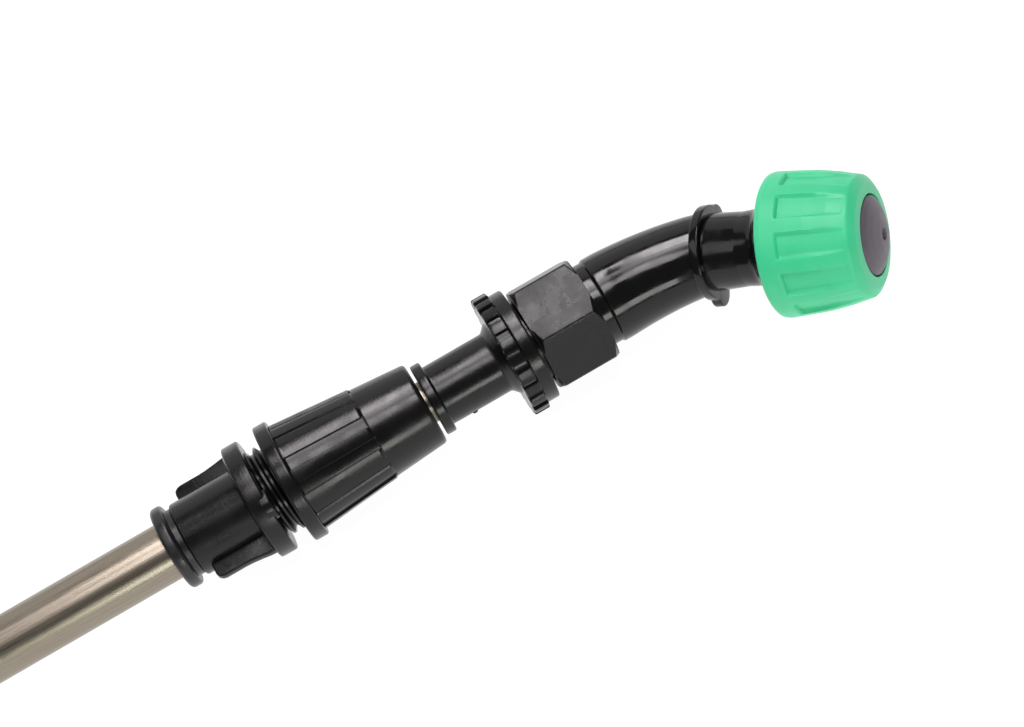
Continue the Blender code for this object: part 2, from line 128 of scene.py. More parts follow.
# ---------------------------------------------------------------- settings

class LanceSizes(bpy.types.PropertyGroup):
    """Sizes that a user would change."""
    gland_ribs: bpy.props.IntProperty(
        name="Gland ribs", description="Raised ribs round the gland nut", default=13, min=6, max=30)
    rib_height: bpy.props.FloatProperty(
        name="Rib height", description="How far the ribs stand proud", default=0.00045,
        unit="LENGTH")
    knurls: bpy.props.IntProperty(
        name="Knurls", description="Teeth round the tip's flange", default=22, min=8, max=60)
    knurl_depth: bpy.props.FloatProperty(
        name="Knurl depth", description="Depth of the grooves between the teeth",
        default=0.00088, unit="LENGTH")
    flutes: bpy.props.IntProperty(
        name="Cap flutes", description="Grip recesses round the nozzle cap", default=11,
        min=5, max=24)
    flute_depth: bpy.props.FloatProperty(
        name="Flute depth", description="Depth of each flute at its rear wall",
        default=0.00085, unit="LENGTH")
    rear_ribs: bpy.props.IntProperty(
        name="Rear ribs", description="Grip grooves round the rear nut", default=12, min=6, max=30)
    thread_pitch: bpy.props.FloatProperty(
        name="Thread pitch", description="Advance of each thread in one turn", default=0.0020,
        unit="LENGTH")


class LanceFinish(bpy.types.PropertyGroup):
    """Colours and gloss that a user would change."""
    black: bpy.props.StringProperty(
        name="Black", description="Colour of the black mouldings, sRGB hex", default="0E0E10")
    green: bpy.props.StringProperty(
        name="Green", description="Colour of the nozzle cap, sRGB hex", default="40D298")
    grey: bpy.props.StringProperty(
        name="Grey", description="Colour of the nozzle disc, sRGB hex", default="635A66")
    steel: bpy.props.StringProperty(
        name="Steel", description="Colour of the stainless tubes, sRGB hex", default="9E9689")
    gloss: bpy.props.FloatProperty(
        name="Gloss roughness", description="Roughness of the smooth black mouldings",
        default=0.13, min=0.0, max=1.0)


# ---------------------------------------------------------------- materials

def colour(code):
    """sRGB hex to linear RGBA."""
    def linear(value):
        return value / 12.92 if value <= 0.04045 else ((value + 0.055) / 1.055) ** 2.4
    return (*(linear(int(code[i:i + 2], 16) / 255) for i in (0, 2, 4)), 1.0)


def add(tree, kind, inputs=None, **settings):
    """Adds a node with its settings; each input is given a value or a link."""
    node = tree.nodes.new(kind)
    for name, value in settings.items():
        setattr(node, name, value)
    for name, value in (inputs or {}).items():
        if isinstance(value, bpy.types.NodeSocket):
            tree.links.new(value, node.inputs[name])
        else:
            node.inputs[name].default_value = value
    return node


def new_material(name, **shader_inputs):
    material = bpy.data.materials.get(name)
    if material:
        return material, None, None
    material = bpy.data.materials.new(name)
    material.use_nodes = True
    tree = material.node_tree
    shader = tree.nodes["Principled BSDF"]
    for socket, value in shader_inputs.items():
        shader.inputs[socket].default_value = value
    return material, tree, shader


def pattern(tree, grain, detail=2.0, stretch=(1.0, 1.0, 1.0), roughness=0.5):
    """Noise on Object coordinates; grain is the size of one feature in metres."""
    place = add(tree, "ShaderNodeTexCoord").outputs["Object"]
    mapped = add(tree, "ShaderNodeMapping", {"Vector": place, "Scale": stretch})
    noise = add(tree, "ShaderNodeTexNoise", {"Vector": mapped.outputs[0], "Scale": 1.0 / grain,
                                             "Detail": detail, "Roughness": roughness})
    return noise.outputs[0]


def ranged(tree, value, low, high, start=0.3, end=0.7):
    """Maps the middle of a noise to a range of values."""
    node = add(tree, "ShaderNodeMapRange", {"Value": value, "From Min": start, "From Max": end,
                                            "To Min": low, "To Max": high})
    return node.outputs[0]


def bumped(tree, shader, height, distance, strength=1.0, under=None):
    node = add(tree, "ShaderNodeBump", {"Height": height, "Distance": distance,
                                        "Strength": strength})
    if under is not None:
        tree.links.new(under, node.inputs["Normal"])
    tree.links.new(node.outputs[0], shader.inputs["Normal"])
    return node.outputs[0]


def mixed(tree, factor, first, second):
    node = add(tree, "ShaderNodeMix", data_type="RGBA")
    tree.links.new(factor, node.inputs[0])
    node.inputs[6].default_value = first
    node.inputs[7].default_value = second
    return node.outputs[2]


def black_moulding(kind):
    """Black polypropylene, injection moulded. Its specular level is under the usual one,
    because a moulded skin returns less light than a polished one.

    glossy: polished mould, long clean highlights with a slight waviness.
    satin: finer spark finish, softer highlights that break up.
    turned: the mould was turned, so hairlines run round the piece.
    mottled: flow marks of a thick wall, cloudy highlights.
    """
    finish = bpy.context.scene.lance_finish
    gloss = {"glossy": 0.0, "satin": 0.08, "turned": 0.12, "mottled": 0.13}[kind]
    material, tree, shader = new_material(f"black_polypropylene_{kind}", **{
        "IOR": 1.49, "Specular IOR Level": 0.36, "Base Color": colour(finish.black)})
    if tree is None:
        return material
    cloud = pattern(tree, 0.0045, 3.0)
    tree.links.new(ranged(tree, cloud, finish.gloss + gloss - 0.05, finish.gloss + gloss + 0.09),
                   shader.inputs["Roughness"])
    wave = bumped(tree, shader, pattern(tree, 0.0060, 1.0), 0.00012, 0.35)
    if kind == "glossy":
        bumped(tree, shader, pattern(tree, 0.0009, 2.0), 0.00001, 0.30, wave)
    elif kind == "satin":
        bumped(tree, shader, pattern(tree, 0.00045, 3.0), 0.00003, 0.45, wave)
    elif kind == "turned":
        # Hairlines 0.3 mm apart, coarser than the tool left, so that they show.
        lines = pattern(tree, 0.0030, 4.0, (10.0, 0.6, 0.6), 0.7)
        fine = bumped(tree, shader, lines, 0.00006, 0.55, wave)
        bumped(tree, shader, pattern(tree, 0.0005, 3.0), 0.00002, 0.35, fine)
    else:
        flow = pattern(tree, 0.0026, 5.0, (1.0, 1.0, 1.0), 0.62)
        soft = bumped(tree, shader, flow, 0.00022, 0.85, wave)
        bumped(tree, shader, pattern(tree, 0.0004, 4.0), 0.00004, 0.7, soft)
    return material


def stainless():
    """Stainless steel tube, brushed lengthwise: warm, with hairlines along the tube."""
    finish = bpy.context.scene.lance_finish
    material, tree, shader = new_material("brushed_stainless_steel", Metallic=1.0)
    if tree is None:
        return material
    # Brush lines 0.2 mm wide and some 20 mm long, wider than real ones so that they show.
    lines = pattern(tree, 0.0100, 4.0, (0.5, 70.0, 70.0), 0.75)
    base = colour(finish.steel)
    dull = tuple(channel * shade for channel, shade in zip(base[:3], (0.66, 0.63, 0.60)))
    tree.links.new(mixed(tree, ranged(tree, lines, 0.0, 1.0), (*dull, 1.0), base),
                   shader.inputs["Base Color"])
    tree.links.new(ranged(tree, lines, 0.24, 0.38), shader.inputs["Roughness"])
    wide = bumped(tree, shader, pattern(tree, 0.0200, 2.0, (0.3, 22.0, 22.0)), 0.00005, 0.35)
    bumped(tree, shader, lines, 0.000015, 0.40, wide)
    return material


def rubber():
    """Black nitrile rubber, moulded: dark, slightly glossy on the edges, fine dust."""
    material, tree, shader = new_material("nitrile_rubber", **{
        "Base Color": colour("151417"), "IOR": 1.52})
    if tree is None:
        return material
    cloud = pattern(tree, 0.0022, 4.0)
    tree.links.new(ranged(tree, cloud, 0.24, 0.42), shader.inputs["Roughness"])
    bumped(tree, shader, pattern(tree, 0.0006, 3.0), 0.00002, 0.4)
    return material


def green_polypropylene():
    """Green polypropylene, injection moulded: satin and a little translucent."""
    finish = bpy.context.scene.lance_finish
    material, tree, shader = new_material("green_polypropylene", **{
        "IOR": 1.49, "Subsurface Weight": 0.35, "Subsurface Scale": 0.0012,
        "Subsurface Radius": (0.5, 1.0, 0.7)})
    if tree is None:
        return material
    base = colour(finish.green)
    pale = tuple(min(1.0, channel * 1.05 + 0.012) for channel in base[:3])
    cloud = pattern(tree, 0.0070, 3.0)
    tree.links.new(mixed(tree, ranged(tree, cloud, 0.0, 1.0), base, (*pale, 1.0)),
                   shader.inputs["Base Color"])
    tree.links.new(ranged(tree, cloud, 0.36, 0.48), shader.inputs["Roughness"])
    wave = bumped(tree, shader, pattern(tree, 0.0050, 2.0), 0.00010, 0.35)
    bumped(tree, shader, pattern(tree, 0.0005, 3.0), 0.00002, 0.45, wave)
    return material


def grey_acetal():
    """Grey acetal disc, moulded: matt with a faint grain."""
    finish = bpy.context.scene.lance_finish
    material, tree, shader = new_material("grey_acetal", IOR=1.48)
    if tree is None:
        return material
    base = colour(finish.grey)
    dark = tuple(channel * 0.86 for channel in base[:3])
    cloud = pattern(tree, 0.0018, 4.0)
    tree.links.new(mixed(tree, ranged(tree, cloud, 0.0, 1.0), (*dark, 1.0), base),
                   shader.inputs["Base Color"])
    tree.links.new(ranged(tree, cloud, 0.40, 0.55), shader.inputs["Roughness"])
    bumped(tree, shader, pattern(tree, 0.0004, 3.0), 0.00002, 0.5)
    return material


def natural_acetal():
    """Uncoloured acetal of the inner bushes and washers: milky and slick."""
    material, tree, shader = new_material("natural_acetal", **{
        "IOR": 1.48, "Subsurface Weight": 0.3, "Subsurface Scale": 0.001})
    if tree is None:
        return material
    cloud = pattern(tree, 0.0030, 3.0)
    tree.links.new(mixed(tree, ranged(tree, cloud, 0.0, 1.0), colour("D9D6CC"), colour("E8E6DF")),
                   shader.inputs["Base Color"])
    tree.links.new(ranged(tree, cloud, 0.32, 0.46), shader.inputs["Roughness"])
    bumped(tree, shader, pattern(tree, 0.0006, 2.0), 0.00001, 0.4)
    return material


def woven_steel():
    """Stainless filter cloth: crossing wires 0.5 mm apart."""
    material, tree, shader = new_material("woven_steel_mesh", **{
        "Metallic": 1.0, "Roughness": 0.38})
    if tree is None:
        return material
    place = add(tree, "ShaderNodeTexCoord").outputs["Object"]
    weave = add(tree, "ShaderNodeTexBrick", {
        "Vector": place, "Scale": 1.0, "Mortar Size": 0.00012, "Brick Width": 0.0005,
        "Row Height": 0.0005, "Color1": colour("C4C2BC"), "Color2": colour("A9A7A1"),
        "Mortar": colour("4A4947")}, offset=0.0)
    tree.links.new(weave.outputs["Color"], shader.inputs["Base Color"])
    bumped(tree, shader, weave.outputs["Fac"], 0.00008, 0.6)
    return material


# ---------------------------------------------------------------- shapes

def mm(*rows):
    """Rows written in millimetres, as metres."""
    return [tuple(value * MM for value in row) for row in rows]


def rounded(outline, steps=5):
    """Rounds each corner of a closed outline of (along, radius, rounding) with an arc."""
    points = []
    for number, (along, radius, rounding) in enumerate(outline):
        here = Vector((along, radius))
        before = Vector(outline[number - 1][:2]) - here
        after = Vector(outline[(number + 1) % len(outline)][:2]) - here
        if rounding <= 0.0:
            points.append(here)
            continue
        half = before.angle(after) / 2
        back = min(rounding / math.tan(half), before.length * 0.49, after.length * 0.49)
        size = back * math.tan(half)
        middle = here + (before.normalized() + after.normalized()).normalized() * (
            size / math.sin(half))
        first = here + before.normalized() * back - middle
        last = here + after.normalized() * back - middle
        sweep = first.angle_signed(last)
        for step in range(steps + 1):
            turned = first.copy()
            turned.rotate(Matrix.Rotation(-sweep * step / steps, 2))
            points.append(middle + turned)
    return points


def dense(points, spacing):
    """Adds points so that none of a closed outline's edges is longer than spacing."""
    result = []
    for number, point in enumerate(points):
        following = points[(number + 1) % len(points)]
        parts = max(1, math.ceil((following - point).length / spacing))
        result += [point.lerp(following, part / parts) for part in range(parts)]
    return result


def smooth_step(value, low, high):
    share = min(1.0, max(0.0, (value - low) / (high - low)))
    return share * share * (3 - 2 * share)


def turned_mesh(name, points, place, columns, sweep=2 * math.pi, start=0.0, relief=None):
    """A closed outline carried round an axis. place(along, radius, angle) gives the world point.

    relief(along, radius, share) gives a point's radius at a share of the sweep.
    """
    whole = abs(sweep - 2 * math.pi) < 1e-6
    lines = columns if whole else columns + 1
    vertices = []
    for line in range(lines):
        share = line / columns
        for along, radius in points:
            size = relief(along, radius, share) if relief else radius
            vertices.append(place(along, size, start + sweep * share))
    count = len(points)
    faces = []
    for line in range(columns):
        after = (line + 1) % lines
        faces += [(line * count + i, line * count + (i + 1) % count,
                   after * count + (i + 1) % count, after * count + i) for i in range(count)]
    mesh = bpy.data.meshes.new(name)
    mesh.from_pydata(vertices, [], faces)
    mesh.update()
    return mesh


def round_place(matrix):
    """A placing function for a straight axis."""
    def place(along, radius, angle):
        return matrix @ Vector((radius * math.cos(angle), radius * math.sin(angle), along))
    return place


def past_meet(along):
    """The place on the pipe's middle line that is so far past where the axes meet."""
    return BEND_START + BEND_LENGTH + along - MITRE


def pipe_place(along, radius, angle):
    """A placing function along the bent pipe; along is counted on its middle line."""
    if along <= BEND_START:
        matrix, rest = LANCE, along
    elif along < past_meet(MITRE):
        turn = (along - BEND_START) / BEND_RADIUS
        across = BEND_RADIUS * (1 - math.cos(turn))
        matrix = axis_matrix((GAP_X + BEND_START + BEND_RADIUS * math.sin(turn),
                              -across * math.cos(ROLL), across * math.sin(ROLL)), turn, ROLL)
        rest = 0.0
    else:
        matrix, rest = NOZZLE, along - past_meet(0.0)
    turned = angle if matrix is LANCE else angle + ROLL
    return round_place(matrix)(rest, radius, turned)


def new_object(name, mesh):
    item = bpy.data.objects.new(name, mesh)
    bpy.context.scene.collection.objects.link(item)
    return item


def tidy_mesh(mesh, sharp=math.radians(50)):
    """Merges doubles, points every face outwards and shades it smooth."""
    work = bmesh.new()
    work.from_mesh(mesh)
    bmesh.ops.remove_doubles(work, verts=work.verts, dist=0.000002)
    bmesh.ops.recalc_face_normals(work, faces=work.faces)
    work.to_mesh(mesh)
    work.free()
    mesh.shade_smooth()
    mesh.set_sharp_from_angle(angle=sharp)


def finish_piece(item, material, body, slot, *replaced):
    """Gives a finished piece its material and its body, and hides the nodes it stands for; slot is not used."""
    item.data.materials.clear()
    item.data.materials.append(material)
    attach(item, body)
    if replaced:
        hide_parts(*replaced)
    return item


def turned_piece(name, outline, matrix, columns=128, steps=5):
    """A plain turned piece from a closed outline of (along, radius, rounding)."""
    mesh = turned_mesh(name, rounded(outline, steps), round_place(matrix), columns)
    tidy_mesh(mesh)
    return new_object(name, mesh)


# ---------------------------------------------------------------- node trees

def new_tree(name, *sockets):
    """A Geometry Nodes tree with named inputs and one geometry output."""
    tree = bpy.data.node_groups.new(name, "GeometryNodeTree")
    for label, kind in sockets:
        tree.interface.new_socket(label, in_out="INPUT", socket_type=kind)
    tree.interface.new_socket("Geometry", in_out="OUTPUT", socket_type="NodeSocketGeometry")
    return tree, add(tree, "NodeGroupInput"), add(tree, "NodeGroupOutput")


def end_tree(tree, geometry, source, output):
    """Realize Instances, Merge, Shade Smooth and Set Material, then the output."""
    real = add(tree, "GeometryNodeRealizeInstances", {"Geometry": geometry})
    merged = add(tree, "GeometryNodeMergeByDistance", {
        "Geometry": real.outputs[0], "Distance": 0.000002})
    smooth = add(tree, "GeometryNodeSetShadeSmooth", {"Geometry": merged.outputs[0]})
    painted = add(tree, "GeometryNodeSetMaterial", {
        "Geometry": smooth.outputs[0], "Material": source.outputs["Material"]})
    tree.links.new(painted.outputs[0], output.inputs[0])
    return tree


def repeat_tree():
    """Repeats one sector round the local Z axis."""
    tree, source, output = new_tree(
        "repeat_round_axis", ("Sector", "NodeSocketGeometry"), ("Count", "NodeSocketInt"),
        ("Material", "NodeSocketMaterial"))
    points = add(tree, "GeometryNodePoints", {"Count": source.outputs["Count"]})
    step = add(tree, "ShaderNodeMath", operation="DIVIDE")
    step.inputs[0].default_value = 2 * math.pi
    tree.links.new(source.outputs["Count"], step.inputs[1])
    angle = add(tree, "ShaderNodeMath", operation="MULTIPLY")
    tree.links.new(add(tree, "GeometryNodeInputIndex").outputs[0], angle.inputs[0])
    tree.links.new(step.outputs[0], angle.inputs[1])
    turn = add(tree, "ShaderNodeCombineXYZ", {"Z": angle.outputs[0]})
    copies = add(tree, "GeometryNodeInstanceOnPoints", {
        "Points": points.outputs[0], "Instance": source.outputs["Sector"],
        "Rotation": turn.outputs[0]})
    return end_tree(tree, copies.outputs[0], source, output)


def thread_tree():
    """A thread ridge: a trapezoid carried along a helix round the local Z axis."""
    tree, source, output = new_tree(
        "thread_ridge", ("Empty", "NodeSocketGeometry"), ("Radius", "NodeSocketFloat"),
        ("Turns", "NodeSocketFloat"), ("Pitch", "NodeSocketFloat"),
        ("Ridge Height", "NodeSocketFloat"), ("Material", "NodeSocketMaterial"))
    rise = add(tree, "ShaderNodeMath", operation="MULTIPLY")
    tree.links.new(source.outputs["Turns"], rise.inputs[0])
    tree.links.new(source.outputs["Pitch"], rise.inputs[1])
    helix = add(tree, "GeometryNodeCurveSpiral", {
        "Resolution": 96, "Rotations": source.outputs["Turns"],
        "Start Radius": source.outputs["Radius"], "End Radius": source.outputs["Radius"],
        "Height": rise.outputs[0], "Reverse": True})
    upright = add(tree, "GeometryNodeSetCurveNormal", {"Curve": helix.outputs[0]})
    upright.mode = "Z_UP"
    wide = add(tree, "ShaderNodeMath", operation="MULTIPLY")
    tree.links.new(source.outputs["Pitch"], wide.inputs[0])
    wide.inputs[1].default_value = RIDGE_FOOT
    narrow = add(tree, "ShaderNodeMath", operation="MULTIPLY")
    tree.links.new(source.outputs["Pitch"], narrow.inputs[0])
    narrow.inputs[1].default_value = RIDGE_CREST
    ridge = add(tree, "GeometryNodeCurvePrimitiveQuadrilateral", {
        "Height": source.outputs["Ridge Height"], "Bottom Width": wide.outputs[0],
        "Top Width": narrow.outputs[0], "Offset": 0.0}, mode="TRAPEZOID")
    stood = add(tree, "GeometryNodeTransform", {
        "Geometry": ridge.outputs[0], "Rotation": (0.0, 0.0, -math.pi / 2)})
    swept = add(tree, "GeometryNodeCurveToMesh", {
        "Curve": upright.outputs[0], "Profile Curve": stood.outputs[0], "Fill Caps": True})
    return end_tree(tree, swept.outputs[0], source, output)


def grown(name, mesh, matrix, tree, sharp=math.radians(50), **inputs):
    """Runs a tree on a mesh in the axis's own space and returns a plain, placed object."""
    seed = new_object(f"{name}_seed", mesh)
    modifier = seed.modifiers.new("nodes", "NODES")
    modifier.node_group = tree
    for socket in tree.interface.items_tree:
        if socket.in_out == "INPUT" and socket.name in inputs:
            modifier[socket.identifier] = inputs[socket.name]
    bpy.context.view_layer.update()
    evaluated = seed.evaluated_get(bpy.context.evaluated_depsgraph_get())
    result = bpy.data.meshes.new_from_object(evaluated)
    result.name = name
    bpy.data.objects.remove(seed)
    result.transform(matrix)
    tidy_mesh(result, sharp)
    return new_object(name, result)


def ribbed_piece(name, outline, matrix, count, turn, relief, material, spacing, columns=20):
    """A turned piece whose relief repeats round it: one sector, repeated by the tree."""
    sweep = 2 * math.pi / count
    points = dense(rounded(outline), spacing)
    start = turn - sweep / 2
    sector = turned_mesh(name, points, round_place(Matrix.Identity(4)), columns, sweep, start,
                         relief)
    return grown(name, sector, matrix, bpy.data.node_groups["repeat_round_axis"],
                 Count=count, Material=material)


def thread(name, matrix, start, crest, root, turns, start_turn, material):
    """A right-hand thread ridge from start, between its root and crest radii."""
    height = crest - root + 0.0002
    pitch = bpy.context.scene.lance_sizes.thread_pitch
    place = matrix @ Matrix.Translation((0.0, 0.0, start)) @ Matrix.Rotation(start_turn, 4, "Z")
    return grown(name, bpy.data.meshes.new(name), place, bpy.data.node_groups["thread_ridge"],
                 **{"Radius": crest - height / 2, "Turns": turns, "Pitch": pitch,
                    "Ridge Height": height, "Material": material})


# ---------------------------------------------------------------- pieces

class LANCE_OT_tubes(bpy.types.Operator):
    """Stainless outer and inner tube"""
    bl_idname = "lance.tubes"
    bl_label = "Tubes"

    def execute(self, context):
        for node, body, radius, wall in (("outer_tube", "barrel", 0.0060, 0.00055),
                                         ("inner_tube", "wand", 0.0045, 0.0005)):
            low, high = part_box(node)
            rim = 0.00012
            outline = [(low.x, radius, rim), (high.x, radius, rim),
                       (high.x, radius - wall, rim), (low.x, radius - wall, rim)]
            tube = turned_piece(f"{node}_drawn", outline, REAR, 144)
            finish_piece(tube, stainless(), body, "stainless_steel", node)
        return {"FINISHED"}


def wing_mesh():
    """One grip wing: a plate with rounded edges, standing out from the axis."""
    outline = mm((-53.0, 7.2), (-53.0, 9.9), (-52.8, 10.6), (-52.2, 11.1), (-51.4, 11.3),
                 (-47.2, 11.3), (-45.5, 11.4), (-43.5, 11.65), (-41.6, 11.95), (-40.2, 12.05),
                 (-40.2, 7.2))
    thickness = 0.0019
    mesh = bpy.data.meshes.new("wing")
    work = bmesh.new()
    for side in (-1, 1):
        work.faces.new([work.verts.new((radius, side * thickness / 2, along))
                        for along, radius in outline])
    work.verts.ensure_lookup_table()
    count = len(outline)
    for i in range(count):
        after = (i + 1) % count
        work.faces.new([work.verts[i], work.verts[after], work.verts[count + after],
                        work.verts[count + i]])
    bmesh.ops.recalc_face_normals(work, faces=work.faces)
    rim = [edge for edge in work.edges
           if edge.calc_face_angle(0.0) > math.radians(60) and edge.calc_length() < 0.0045]
    bmesh.ops.bevel(work, geom=rim, offset=0.00045, segments=4, affect="EDGES", profile=0.5)
    bmesh.ops.rotate(work, verts=work.verts, cent=(0, 0, 0),
                     matrix=Matrix.Rotation(WING_TURN, 3, "Z"))
    work.to_mesh(mesh)
    work.free()
    return mesh


class LANCE_OT_gland(bpy.types.Operator):
    """Gland body with its wings, tab and thread, and the rubber ring behind it"""
    bl_idname = "lance.gland"
    bl_label = "Gland"

    def execute(self, context):
        turned = black_moulding("turned")
        outline = mm((-55.0, 7.95, 0.6), (-41.0, 7.95, 0.35), (-40.9, 10.6, 0.5),
                     (-40.4, 12.35, 0.45), (-36.8, 12.35, 0.45), (-36.8, 8.4, 0.3),
                     (-26.0, 8.4, 0.5), (-26.0, 7.4, 0.2), (-40.0, 7.4, 0), (-40.0, 4.8, 0),
                     (-44.2, 4.8, 0), (-44.2, 6.3, 0), (-55.0, 6.3, 0.2))
        body = turned_piece("gland_body_moulded", outline, LANCE, 160)
        finish_piece(body, turned, "barrel", "black_plastic", "gland_body")

        wings = grown("gland_wings", wing_mesh(), LANCE, bpy.data.node_groups["repeat_round_axis"],
                      Count=2, Material=turned)
        finish_piece(wings, turned, "barrel", "black_plastic")

        tab = self.tab()
        finish_piece(tab, turned, "barrel", "black_plastic")

        glossy = black_moulding("glossy")
        ridge = thread("gland_thread", LANCE, -0.0367, 0.0095, 0.0084, 5.0, math.radians(110),
                       glossy)
        finish_piece(ridge, glossy, "barrel", "black_plastic")

        lip = mm((-58.9, 8.9, 1.25), (-56.3, 8.9, 1.25), (-56.3, 7.3, 0.2), (-55.02, 7.3, 0.1),
                 (-55.02, 6.3, 0), (-58.4, 6.3, 0.2), (-58.9, 7.0, 0.5))
        ring = turned_piece("rubber_ring", lip, LANCE, 144, 8)
        finish_piece(ring, rubber(), "barrel", "black_rubber", "barrel_ring")
        return {"FINISHED"}

    @staticmethod
    def tab():
        """A low half-round lug standing on the flange's front face."""
        outline = rounded(mm((-39.2, 12.2, 0.3), (-38.0, 12.8, 0.8), (-36.05, 12.8, 0.6),
                             (-36.05, 9.3, 0.2), (-39.2, 9.3, 0.1)))

        def relief(along, radius, share):
            side = 2 * share - 1
            height = math.sqrt(max(0.0, 1 - side * side))
            return 0.0093 + (radius - 0.0093) * (0.05 + 0.95 * height)
        mesh = turned_mesh("gland_tab", outline, round_place(LANCE), 40, 2 * TAB_REACH,
                           TAB_TURN - TAB_REACH, relief)
        work = bmesh.new()
        work.from_mesh(mesh)
        bmesh.ops.holes_fill(work, edges=[edge for edge in work.edges if edge.is_boundary])
        work.to_mesh(mesh)
        work.free()
        tidy_mesh(mesh)
        return new_object("gland_tab", mesh)


class LANCE_OT_gland_nut(bpy.types.Operator):
    """Clamp nut with raised ribs on its rear half"""
    bl_idname = "lance.gland_nut"
    bl_label = "Gland nut"

    def execute(self, context):
        sizes = context.scene.lance_sizes
        material = black_moulding("satin")
        rear, front = -0.0299, -0.0125
        rear_root, front_root = 0.01125, 0.00970
        outline = mm((-33.0, 12.9, 0.45), (-30.0, 12.9, 0.45), (-29.9, 11.25, 0.25),
                     (-12.5, 9.70, 0), (-12.3, 9.85, 0.1), (-0.36, 8.9, 0.85), (-0.36, 4.8, 0.3),
                     (-2.5, 4.8, 0.2), (-3.0, 6.4, 0), (-19.4, 6.8, 0), (-19.4, 8.3, 0),
                     (-21.0, 8.3, 0), (-22.0, 9.8, 0.3), (-33.0, 9.8, 0.3))

        def relief(along, radius, share):
            if not rear - 0.0003 < along < front + 0.0004 or radius < front_root - 0.0006:
                return radius
            across = abs(2 * share - 1)
            rib = 1 - smooth_step(across, 0.46, 0.54)
            ends = 1 - smooth_step(along, front - 0.00012, front + 0.00012)
            raised = sizes.rib_height * rib * ends
            return max(radius, rear_root + raised) if radius > rear_root else radius + raised

        nut = ribbed_piece("gland_nut_ribbed", outline, LANCE, sizes.gland_ribs, RIB_TURN, relief,
                           material, 0.00034, 26)
        finish_piece(nut, material, "gland_nut", "black_plastic", "gland_nut")
        return {"FINISHED"}


class LANCE_OT_tip_adapter(bpy.types.Operator):
    """Tip adapter: collar, sleeve, knurled flange and male thread"""
    bl_idname = "lance.tip_adapter"
    bl_label = "Tip adapter"

    def execute(self, context):
        sizes = context.scene.lance_sizes
        material = black_moulding("satin")
        outline = mm((0.3, 7.8, 0.35), (2.46, 7.8, 0.4), (2.46, 6.5, 0.2), (15.9, 6.5, 0.8),
                     (17.5, 8.2, 0.3), (17.5, 13.2, 0.4), (20.9, 13.2, 0.4), (20.9, 12.2, 0.15),
                     (23.7, 12.2, 0.35), (23.7, 8.2, 0.2), (28.9, 8.2, 0.4), (28.9, 6.3, 0.2),
                     (17.0, 6.3, 0), (17.0, 3.5, 0), (14.3, 3.5, 0), (14.3, 4.8, 0),
                     (0.3, 4.8, 0.2))

        def relief(along, radius, share):
            if not 0.0174 < along < 0.0210 or radius < 0.01225:
                return radius
            across = abs(2 * share - 1)
            groove = 1 - smooth_step(across, 0.30, 0.52)
            return radius - sizes.knurl_depth * groove

        adapter = ribbed_piece("tip_adapter_moulded", outline, LANCE, sizes.knurls, KNURL_TURN,
                               relief, material, 0.00045, 12)
        finish_piece(adapter, material, "wand", "black_plastic", "tip_adapter")
        ridge = thread("adapter_thread", LANCE, 0.0240, 0.0092, 0.0082, 2.0, 0.0, material)
        finish_piece(ridge, material, "wand", "black_plastic")

        finish_piece(self.gate_nib(), material, "wand", "black_plastic")
        return {"FINISHED"}

    @staticmethod
    def gate_nib():
        """The small nib that the mould's gate left on the sleeve."""
        mesh = bpy.data.meshes.new("gate_nib")
        work = bmesh.new()
        bmesh.ops.create_uvsphere(work, u_segments=24, v_segments=14, radius=0.00045)
        bmesh.ops.scale(work, verts=work.verts, vec=(0.7, 0.8, 1.3))
        bmesh.ops.translate(work, verts=work.verts, vec=(0.0065, 0.0, 0.0074))
        bmesh.ops.transform(work, verts=work.verts,
                            matrix=LANCE @ Matrix.Rotation(NIB_TURN, 4, "Z"))
        work.to_mesh(mesh)
        work.free()
        tidy_mesh(mesh)
        return new_object("gate_nib", mesh)


class LANCE_OT_coupling_nut(bpy.types.Operator):
    """Hex coupling nut with chamfered ends"""
    bl_idname = "lance.coupling_nut"
    bl_label = "Coupling nut"

    def execute(self, context):
        material = black_moulding("mottled")
        flat = 0.01065
        corner = 0.01215
        outline = mm((24.5, 12.4, 0.9), (38.2, 12.4, 1.5), (38.2, 9.05, 0.3), (33.7, 9.05, 0),
                     (33.7, 9.5, 0), (24.5, 9.5, 0.3))

        def relief(along, radius, share):
            if radius < flat - 0.0002:
                return radius
            off = (share - 0.5) * math.pi / 3
            face = flat / math.cos(math.pi / 6 - abs(off))
            face = min(face, corner + (face - corner) * 0.25)
            ends = min(smooth_step(along, 0.0245, 0.0258), 1 - smooth_step(along, 0.0366, 0.0382))
            return min(face, radius, 0.0110 + 0.0014 * ends)

        nut = ribbed_piece("hex_nut", outline, LANCE, 6, HEX_TURN, relief, material, 0.00022, 48)
        finish_piece(nut, material, "coupling_nut", "black_plastic", "coupling_nut")
        return {"FINISHED"}


